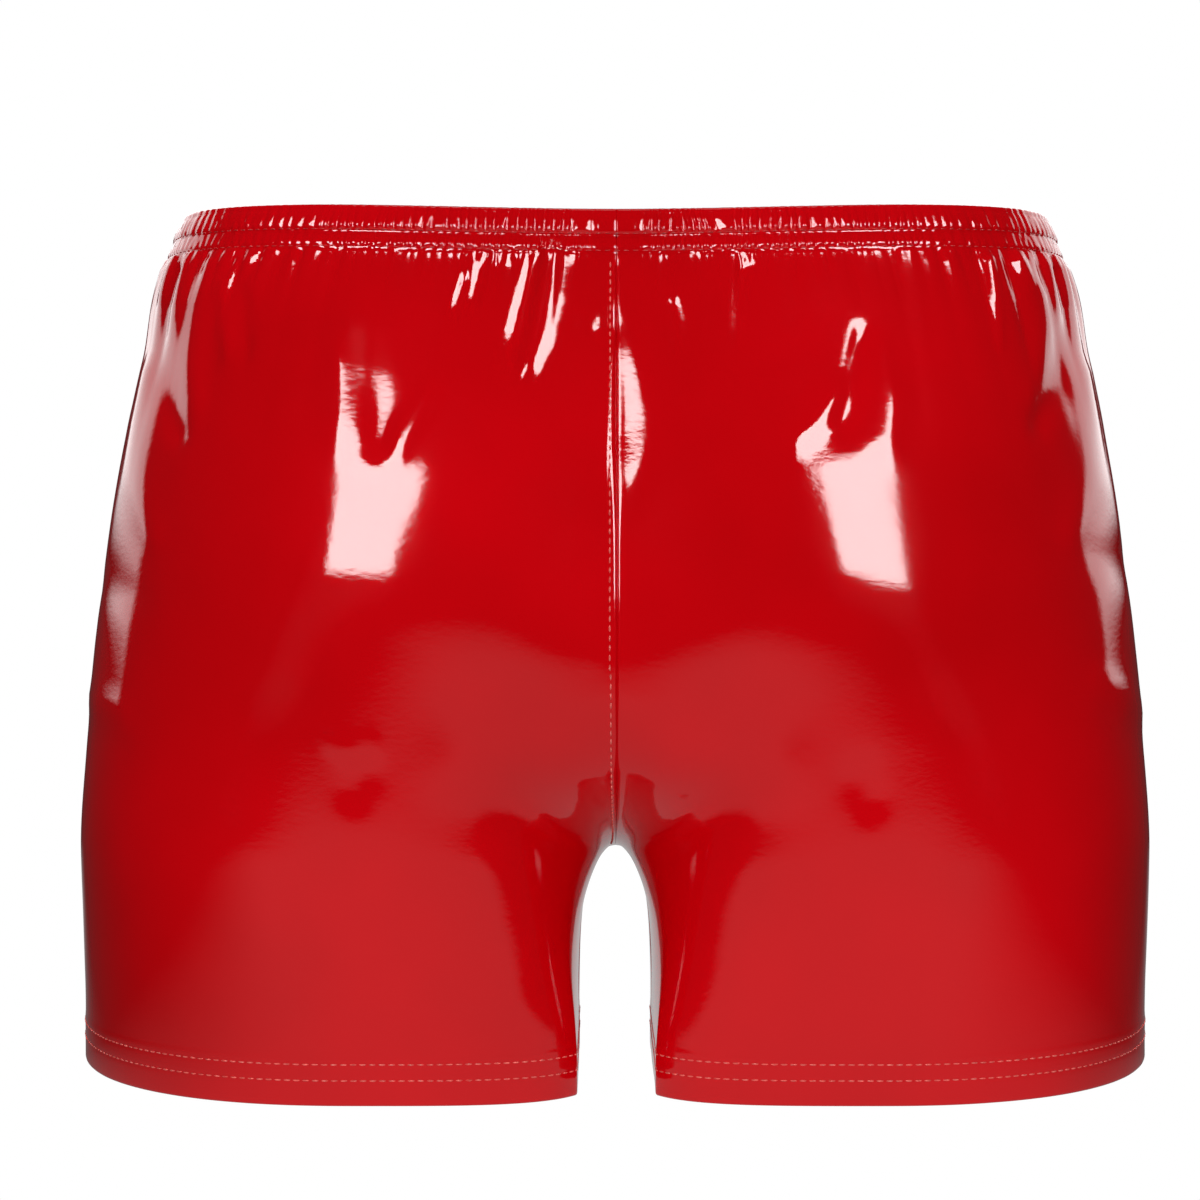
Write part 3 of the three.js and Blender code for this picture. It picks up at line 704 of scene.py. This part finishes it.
def add_math(t, op, a, b):
    n = t.nodes.new("ShaderNodeMath")
    n.operation = op
    for i, v in enumerate((a, b)):
        if hasattr(v, "links"):
            t.links.new(v, n.inputs[i])
        else:
            n.inputs[i].default_value = v
    return n.outputs["Value"]


def bump(t, height, distance, strength, normal=None):
    b = t.nodes.new("ShaderNodeBump")
    b.inputs["Distance"].default_value = distance
    b.inputs["Strength"].default_value = strength
    t.links.new(height, b.inputs["Height"])
    if normal is not None:
        t.links.new(normal, b.inputs["Normal"])
    return b.outputs["Normal"]


def wet_look():
    m, t, bsdf, coord = nodes_of("wet_look_red")
    plain = mapped(t, coord, (1, 1, 1))
    colour = ramp(t, noise_node(t, plain, 9, 3), (0.50, 0.0, 0.0022, 1), (0.62, 0.0, 0.0035, 1), 0.3, 0.7)
    t.links.new(colour, bsdf.inputs["Base Color"])
    rough = ramp(t, noise_node(t, plain, 22, 3), (0.045,) * 3 + (1,), (0.085,) * 3 + (1,), 0.35, 0.7)
    t.links.new(rough, bsdf.inputs["Roughness"])
    bsdf.inputs["IOR"].default_value = 1.45
    bsdf.inputs["Specular IOR Level"].default_value = 0.5
    peel = noise_node(t, mapped(t, coord, (1, 1, 1.9)), 330, 2.0, 0.5)
    crinkle = noise_node(t, mapped(t, coord, (1, 1, 1.6)), 70, 2.0, 0.5)
    n1 = bump(t, crinkle, 0.00012, 0.25)
    n2 = bump(t, peel, 0.00007, 0.35, n1)
    t.links.new(n2, bsdf.inputs["Normal"])
    return m


def knit_back():
    m, t, bsdf, coord = nodes_of("knit_backing")
    v = mapped(t, coord, (1, 1, 1))
    colour = ramp(t, noise_node(t, v, 60, 3), (0.23, 0.004, 0.008, 1), (0.33, 0.008, 0.014, 1))
    t.links.new(colour, bsdf.inputs["Base Color"])
    rough = ramp(t, noise_node(t, v, 200, 2), (0.8,) * 3 + (1,), (0.95,) * 3 + (1,))
    t.links.new(rough, bsdf.inputs["Roughness"])
    bsdf.inputs["Sheen Weight"].default_value = 0.25
    bsdf.inputs["Sheen Roughness"].default_value = 0.5
    w = t.nodes.new("ShaderNodeTexWave")
    w.bands_direction = "X"
    w.inputs["Scale"].default_value = 330
    w.inputs["Distortion"].default_value = 1.5
    t.links.new(v, w.inputs["Vector"])
    w2 = t.nodes.new("ShaderNodeTexWave")
    w2.bands_direction = "Z"
    w2.inputs["Scale"].default_value = 260
    w2.inputs["Distortion"].default_value = 1.0
    t.links.new(v, w2.inputs["Vector"])
    h = add_math(t, "MULTIPLY", w.outputs["Fac"], w2.outputs["Fac"])
    t.links.new(bump(t, h, 0.0004, 0.6), bsdf.inputs["Normal"])
    return m


def thread_mat(name, c0, c1):
    m, t, bsdf, coord = nodes_of(name)
    v = mapped(t, coord, (1, 1, 1))
    t.links.new(ramp(t, noise_node(t, v, 700, 2), c0, c1), bsdf.inputs["Base Color"])
    t.links.new(ramp(t, noise_node(t, v, 900, 2), (0.45,) * 3 + (1,), (0.65,) * 3 + (1,)), bsdf.inputs["Roughness"])
    w = t.nodes.new("ShaderNodeTexWave")
    w.bands_direction = "DIAGONAL"
    w.inputs["Scale"].default_value = 1600
    t.links.new(v, w.inputs["Vector"])
    t.links.new(bump(t, w.outputs["Fac"], 0.0001, 0.6), bsdf.inputs["Normal"])
    return m


def elastic_mat():
    m, t, bsdf, coord = nodes_of("knitted_elastic")
    v = mapped(t, coord, (1, 1, 1))
    t.links.new(ramp(t, noise_node(t, v, 300, 2), (0.70, 0.69, 0.66, 1), (0.82, 0.81, 0.78, 1)), bsdf.inputs["Base Color"])
    t.links.new(ramp(t, noise_node(t, v, 500, 2), (0.7,) * 3 + (1,), (0.9,) * 3 + (1,)), bsdf.inputs["Roughness"])
    w = t.nodes.new("ShaderNodeTexWave")
    w.bands_direction = "Z"
    w.inputs["Scale"].default_value = 300
    t.links.new(v, w.inputs["Vector"])
    t.links.new(bump(t, w.outputs["Fac"], 0.0004, 0.7), bsdf.inputs["Normal"])
    return m


def label_mat():
    m, t, bsdf, coord = nodes_of("label_satin")
    v = mapped(t, coord, (1, 1, 1))
    t.links.new(ramp(t, noise_node(t, v, 120, 3), (0.80, 0.79, 0.76, 1), (0.90, 0.89, 0.87, 1)), bsdf.inputs["Base Color"])
    t.links.new(ramp(t, noise_node(t, v, 300, 2), (0.35,) * 3 + (1,), (0.5,) * 3 + (1,)), bsdf.inputs["Roughness"])
    bsdf.inputs["Sheen Weight"].default_value = 0.2
    w = t.nodes.new("ShaderNodeTexWave")
    w.bands_direction = "DIAGONAL"
    w.inputs["Scale"].default_value = 900
    t.links.new(v, w.inputs["Vector"])
    t.links.new(bump(t, w.outputs["Fac"], 0.00012, 0.6), bsdf.inputs["Normal"])
    return m


WET, KNIT = wet_look(), knit_back()
THREAD = thread_mat("thread_red", (0.62, 0.05, 0.04, 1), (0.86, 0.16, 0.13, 1))
# a darker copy of the same red thread: painted shade for the waist stitches sunk in the casing's gathers
SHADED_THREAD = thread_mat("thread_red_painted_shade", (0.36, 0.004, 0.006, 1), (0.50, 0.012, 0.012, 1))
ELASTIC, LABEL = elastic_mat(), label_mat()

# ------------------------------------------------------------------ the pieces
# each panel's cut: the thigh and its seam allowances across, hem turn-up to casing turn-down along
panels = {}
for half, node in ((LEFT, "left_panel"), (RIGHT, "right_panel")):
    o = panel(half, node + "_cloth", [WET, KNIT])
    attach(o, "shorts")
    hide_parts(node)
    panels[node] = o


def round_waist(z):
    u = np.linspace(0.004, 0.996, 1500)
    a, na = RIGHT.point(u, z)
    b, nb = LEFT.point(u[::-1], z)
    return np.concatenate([a, b, a[:1]]), np.concatenate([na, nb, na[:1]])


def round_leg(half, z):
    u = np.linspace(0.0, 1.0, 1500)
    p, n = half.point(u, z)
    return p, n


made = {}


def stitch_piece(node, lines, pitch=3.3, thread=THREAD, **kw):
    o = stitches(node + "_sewn", lines, pitch, thread, **kw)
    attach(o, "shorts")
    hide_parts(node)
    made[node] = o


# the waist rows take the darker thread copy, painted shade for stitches sunk in the gathers
stitch_piece("waist_stitch_lower", [round_waist(WAIST_ROWS[0])], thread=SHADED_THREAD, radius=0.2, sunk=0.16)
stitch_piece("waist_stitch_upper", [round_waist(WAIST_ROWS[1])], thread=SHADED_THREAD, radius=0.2, sunk=0.16)
for half, word in ((LEFT, "left"), (RIGHT, "right")):
    for z, end in zip(HEM_ROWS, ("lower", "upper")):
        stitch_piece(f"{word}_hem_stitch_{end}", [round_leg(half, z)], radius=0.27)


def rise_line(half, off, z0, z1, front):
    """A line beside the rise seam, off mm from it along the cloth."""
    zs = np.linspace(z0, z1, 400)
    frac = off / WAIST_RUN / np.where(zs > 150, 1.12, 1.3)
    p, n = half.point(1 - frac if front else frac, zs)
    return p, n


bp, bn = rise_line(LEFT, TOPSTITCH, 293.0, CROTCH_Z + 2.5, False)
fp, fn = rise_line(LEFT, TOPSTITCH, CROTCH_Z + 2.5, 293.0, True)
stitch_piece("rise_topstitch", [(np.concatenate([bp, fp]), np.concatenate([bn, fn]))], radius=0.32, share=0.66)

# inside: the edges are overlocked over the rise seam and the inner-leg seams
def zigzag(half, off_a, off_b, z0, z1, step, front, scale):
    zs = np.arange(min(z0, z1), max(z0, z1), step)
    if z0 > z1:
        zs = zs[::-1]
    off = np.where(np.arange(len(zs)) % 2 == 0, off_a, off_b)
    frac = off / (WAIST_RUN * scale(zs))
    p, n = half.point(1 - frac if front else frac, zs, inside=True)
    return p - 0.12 * n, -n


spread = lambda z: np.where(z > 150, 1.12, 1.3)
bp, bn = zigzag(LEFT, 0.5, 5.2, 292.0, 92.0, 1.3, False, spread)
fp, fn = zigzag(LEFT, 0.5, 5.2, 92.0, 292.0, 1.3, True, spread)
keep = lambda p, n: (np.repeat(p, 2, 0)[1:-1], np.repeat(n, 2, 0)[1:-1])


def lacing(node, runs):
    """Thread that goes back and forth between the points of each run, as one mesh."""
    sides, V, F, base = 6, [], [], 0
    q = np.arange(sides) * 2 * math.pi / sides
    for p, n in runs:
        t = np.gradient(p, axis=0)
        t /= np.maximum(np.linalg.norm(t, axis=1, keepdims=True), 1e-9)
        n = n - (n * t).sum(1, keepdims=True) * t
        n /= np.maximum(np.linalg.norm(n, axis=1, keepdims=True), 1e-9)
        b = np.cross(t, n)
        ring = p[:, None] + 0.2 * (np.cos(q)[None, :, None] * b[:, None] + np.sin(q)[None, :, None] * n[:, None]) + 0.2 * n[:, None]
        V.append(ring.reshape(-1, 3))
        m = len(p)
        for i in range(m - 1):
            for j in range(sides):
                j2 = (j + 1) % sides
                F.append([base + i * sides + j, base + i * sides + j2, base + (i + 1) * sides + j2, base + (i + 1) * sides + j])
        F.append([base + j for j in range(sides)][::-1])
        F.append([base + (m - 1) * sides + j for j in range(sides)])
        base += m * sides
    o = make_object(node + "_sewn", np.concatenate(V), F, [THREAD])
    recalc(o)
    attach(o, "shorts")
    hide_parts(node)
    made[node] = o


lacing("rise_seam_thread", [(bp, bn), (fp, fn)])
for half, word in ((LEFT, "left"), (RIGHT, "right")):
    p, n = zigzag(half, 0.5, 5.0, HEM_Z + 2, CROTCH_Z - 5, 1.3, False, lambda z: 1.5 + 0 * z)
    lacing(f"{word}_inseam_thread", [(p, n)])

# the elastic, a ribbed band pinched at the two rows
def ring_point(z, depth):
    u = np.linspace(0.0, 1.0, 321)
    out_ = []
    for half in (RIGHT, LEFT):
        k = min(int(np.searchsorted(Z_UP, z)), len(Z_UP) - 1)
        k0 = max(k - 1, 0)
        f_ = np.clip((z - Z_UP[k0]) / max(Z_UP[k] - Z_UP[k0], 1e-6), 0, 1)
        row_ = half.base_up[k0] * (1 - f_) + half.base_up[k] * f_
        nor = level(half.n_up[k0])
        side_ = 0.3 * smooth(0.2, 0.32, U_UP) * (1 - smooth(0.66, 0.8, U_UP))
        q_ = row_ - (depth + side_ + 0.06 * np.cos(2 * np.pi * U_UP * WAIST_RUN / 2.1))[:, None] * nor
        q_ = np.stack([np.interp(u, U_UP, q_[:, c]) for c in range(3)], 1)
        q_[:, 0] *= half.side
        out_.append(q_)
    return np.concatenate([out_[0][:-1], out_[1][::-1][:-1]])


sh = Shell()
ring_rows = []
heights = np.linspace(295.6, 310.4, 16)
for z in heights:
    pinch_ = sum(0.22 * float(bell(z, r, 0.9)) for r in WAIST_ROWS)
    rib = 0.07 if int(round((z - 295.6) / 0.9867)) % 2 else 0.0
    ring_rows.append(sh.row(ring_point(z, 1.62 + pinch_ + rib)))
for z in heights[::-1]:
    ring_rows.append(sh.row(ring_point(z, 2.5)))
close = lambda r: np.concatenate([r, r[:1]])
for i in range(len(ring_rows)):
    sh.quads(close(ring_rows[i]), close(ring_rows[(i + 1) % len(ring_rows)]), 0)
o = make_object("waist_elastic_band", np.concatenate(sh.v), sh.f, [ELASTIC])
recalc(o)
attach(o, "shorts")
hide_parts("waist_elastic")

# the label: satin tape, a little bowed, its lower edge turned up behind
LABEL_Y, LABEL_TOP = -75.27, 295.2
ny, nx = 30, 21
sh = Shell()
xs = np.linspace(-14, 14, nx)
rows_ = []


def label_row(v, off):
    bow = 0.35 * np.sin(np.pi * (xs + 14) / 28) * smooth(0, 8, v) + 0.25 * smooth(10, 31, v) * np.sin(xs / 5.0)
    return np.stack([xs, LABEL_Y + off + bow * 0.6, LABEL_TOP - v + 0 * xs], 1)


for v in np.linspace(0, 30.6, ny):
    rows_.append(sh.row(label_row(v, 0.16)))
rows_.append(sh.row(label_row(31.0, 0.0)))
for v in np.linspace(30.6, 0, ny):
    rows_.append(sh.row(label_row(v, -0.16)))
for i in range(len(rows_) - 1):
    sh.quads(rows_[i], rows_[i + 1], 0)
sh.quads(rows_[-1], rows_[0], 0)
for c in (0, nx - 1):
    a_ = [int(r[c]) for r in rows_[:ny]]
    b_ = [int(r[c]) for r in rows_[ny + 1 :]][::-1]
    tip = int(rows_[ny][c])
    for i in range(ny - 1):
        sh.f.append([a_[i], b_[i], b_[i + 1], a_[i + 1]])
        sh.m.append(0)
    sh.f.append([a_[-1], b_[-1], tip])
    sh.m.append(0)
o = make_object("size_label_tape", np.concatenate(sh.v), sh.f, [LABEL])
recalc(o)
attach(o, "label")
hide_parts("size_label")

# ------------------------------------------------------------------ stage and light
def plane(name, size, location, look_at, material):
    me = bpy.data.meshes.new(name)
    w, h = size[0] / 2, size[1] / 2
    me.from_pydata([(-w, -h, 0), (w, -h, 0), (w, h, 0), (-w, h, 0)], [], [(0, 1, 2, 3)])
    o = bpy.data.objects.new(name, me)
    bpy.context.collection.objects.link(o)
    from mathutils import Vector

    d = Vector(look_at) - Vector(location)
    o.location = location
    o.rotation_mode = "QUATERNION"
    o.rotation_quaternion = d.to_track_quat("Z", "Y")
    me.materials.append(material)
    return o


def glow(name, strength, soft_x=0.12, soft_y=0.12, colour=(1, 1, 1)):
    """A softbox face: even light that falls off towards its edges."""
    m = bpy.data.materials.new(name)
    m.use_nodes = True
    t = m.node_tree
    t.nodes.clear()
    out = t.nodes.new("ShaderNodeOutputMaterial")
    em = t.nodes.new("ShaderNodeEmission")
    em.inputs["Color"].default_value = colour + (1,)
    tc = t.nodes.new("ShaderNodeTexCoord")
    sep = t.nodes.new("ShaderNodeSeparateXYZ")
    t.links.new(tc.outputs["Generated"], sep.inputs[0])
    parts = []
    for axis, soft in (("X", soft_x), ("Y", soft_y)):
        lo_, hi_ = soft if isinstance(soft, tuple) else (soft, soft)
        a = t.nodes.new("ShaderNodeMapRange")
        a.interpolation_type = "SMOOTHSTEP"
        a.inputs["From Min"].default_value, a.inputs["From Max"].default_value = 0.0, max(lo_, 1e-3)
        t.links.new(sep.outputs[axis], a.inputs["Value"])
        b = t.nodes.new("ShaderNodeMapRange")
        b.interpolation_type = "SMOOTHSTEP"
        b.inputs["From Min"].default_value, b.inputs["From Max"].default_value = 1.0, 1.0 - max(hi_, 1e-3)
        t.links.new(sep.outputs[axis], b.inputs["Value"])
        parts += [a.outputs["Result"], b.outputs["Result"]]
    v = parts[0]
    for p in parts[1:]:
        v = add_math(t, "MULTIPLY", v, p)
    v = add_math(t, "MULTIPLY", v, strength)
    t.links.new(v, em.inputs["Strength"])
    t.links.new(em.outputs[0], out.inputs["Surface"])
    return m


def softbox(name, size, location, look_at, strength, **kw):
    o = plane(name, size, location, look_at, glow(name, strength, **kw))
    o.visible_camera = False
    o.visible_diffuse = False
    o.visible_shadow = False
    return o


def lamp(name, size, location, look_at, power):
    from mathutils import Vector

    d = bpy.data.lights.new(name, "AREA")
    d.shape, d.size, d.size_y, d.energy = "RECTANGLE", size[0], size[1], power
    o = bpy.data.objects.new(name, d)
    bpy.context.collection.objects.link(o)
    o.location = location
    o.rotation_mode = "QUATERNION"
    o.rotation_quaternion = (Vector(look_at) - Vector(location)).to_track_quat("-Z", "Y")
    o.visible_glossy = False
    o.visible_camera = False
    return o


CENTRE = (0, 0, 0.17)


def aim(az, el, dist):
    """A place dist metres from the seat, az degrees from straight back (+ to +X), el degrees up."""
    a, e = math.radians(az), math.radians(el)
    return (dist * math.cos(e) * math.sin(a), -0.1 - dist * math.cos(e) * math.cos(a), 0.2 + dist * math.sin(e))


SEAT = (0, -0.1, 0.2)
softbox("key_left", (0.86, 1.70), aim(-28.5, 22.5, 2.4), SEAT, 20.0, soft_x=0.13, soft_y=(0.10, 0.05))
softbox("key_right", (0.90, 1.70), aim(31.5, 22.5, 2.4), SEAT, 20.0, soft_x=0.13, soft_y=(0.10, 0.05))
softbox("side_left", (1.9, 1.5), aim(-131, 20, 2.4), SEAT, 2.2, soft_x=0.12, soft_y=0.15)
softbox("side_right", (1.9, 1.5), aim(131, 20, 2.4), SEAT, 2.2, soft_x=0.12, soft_y=0.15)
softbox("far_left", (0.8, 1.6), aim(-162, 28, 2.5), SEAT, 2.4)
softbox("far_right", (0.8, 1.6), aim(162, 28, 2.5), SEAT, 2.4)
softbox("overhead", (1.2, 0.8), (0, 0.1, 2.6), SEAT, 3.0)
lamp("fill_left", (1.2, 1.4), (-1.4, -2.5, 0.6), CENTRE, 39)
lamp("fill_right", (1.2, 1.4), (1.4, -2.5, 0.6), CENTRE, 39)
lamp("fill_front_left", (1.2, 1.4), (-1.5, 2.4, 1.1), CENTRE, 30)
lamp("fill_front_right", (1.2, 1.4), (1.5, 2.4, 1.1), CENTRE, 30)
lamp("fill_top", (1.6, 1.6), (0, 0, 2.6), CENTRE, 26)

fm = bpy.data.materials.new("floor_white")
fm.use_nodes = True
ft = fm.node_tree
ft.nodes.clear()
out = ft.nodes.new("ShaderNodeOutputMaterial")
path = ft.nodes.new("ShaderNodeLightPath")
seen, bounced, mix = ft.nodes.new("ShaderNodeEmission"), ft.nodes.new("ShaderNodeEmission"), ft.nodes.new("ShaderNodeMixShader")
seen.inputs["Strength"].default_value = 1.0
geo = ft.nodes.new("ShaderNodeTexCoord")
sp = ft.nodes.new("ShaderNodeSeparateXYZ")
ft.links.new(geo.outputs["Object"], sp.inputs[0])


def edge(value, near_, far_):
    n = ft.nodes.new("ShaderNodeMapRange")
    n.interpolation_type = "SMOOTHSTEP"
    n.inputs["From Min"].default_value, n.inputs["From Max"].default_value = near_, far_
    n.inputs["To Min"].default_value, n.inputs["To Max"].default_value = 1.0, 0.0
    ft.links.new(value, n.inputs["Value"])
    return n.outputs["Result"]


across, along_ = add_math(ft, "ABSOLUTE", sp.outputs["X"], 0.0), add_math(ft, "ABSOLUTE", sp.outputs["Y"], 0.0)
spread_ = add_math(ft, "SUBTRACT", across, add_math(ft, "MULTIPLY", along_, 0.45))
patch = add_math(ft, "MULTIPLY", edge(spread_, 0.05, 0.26), edge(along_, 0.42, 0.85))
glow_ = add_math(ft, "ADD", add_math(ft, "MULTIPLY", patch, 0.48), 0.03)
ft.links.new(glow_, bounced.inputs["Strength"])
ft.links.new(path.outputs["Is Camera Ray"], mix.inputs[0])
ft.links.new(bounced.outputs[0], mix.inputs[1])
ft.links.new(seen.outputs[0], mix.inputs[2])
ft.links.new(mix.outputs[0], out.inputs["Surface"])
floor = plane("floor", (8, 8), (0, 0, 0), (0, 0, 1), fm)

world = bpy.data.worlds.new("studio")
bpy.context.scene.world = world
world.use_nodes = True
wt = world.node_tree
wt.nodes.clear()
wo = wt.nodes.new("ShaderNodeOutputWorld")
wp = wt.nodes.new("ShaderNodeLightPath")
wa, wb, wm = wt.nodes.new("ShaderNodeBackground"), wt.nodes.new("ShaderNodeBackground"), wt.nodes.new("ShaderNodeMixShader")
wa.inputs["Color"].default_value, wa.inputs["Strength"].default_value = (1, 1, 1, 1), 0.03
wb.inputs["Color"].default_value, wb.inputs["Strength"].default_value = (1, 1, 1, 1), 1.0
wt.links.new(wp.outputs["Is Camera Ray"], wm.inputs[0])
wt.links.new(wa.outputs[0], wm.inputs[1])
wt.links.new(wb.outputs[0], wm.inputs[2])
wt.links.new(wm.outputs[0], wo.inputs["Surface"])

scene = bpy.context.scene
scene.view_settings.view_transform = "Standard"
scene.view_settings.look = "None"
scene.view_settings.exposure = 0.0
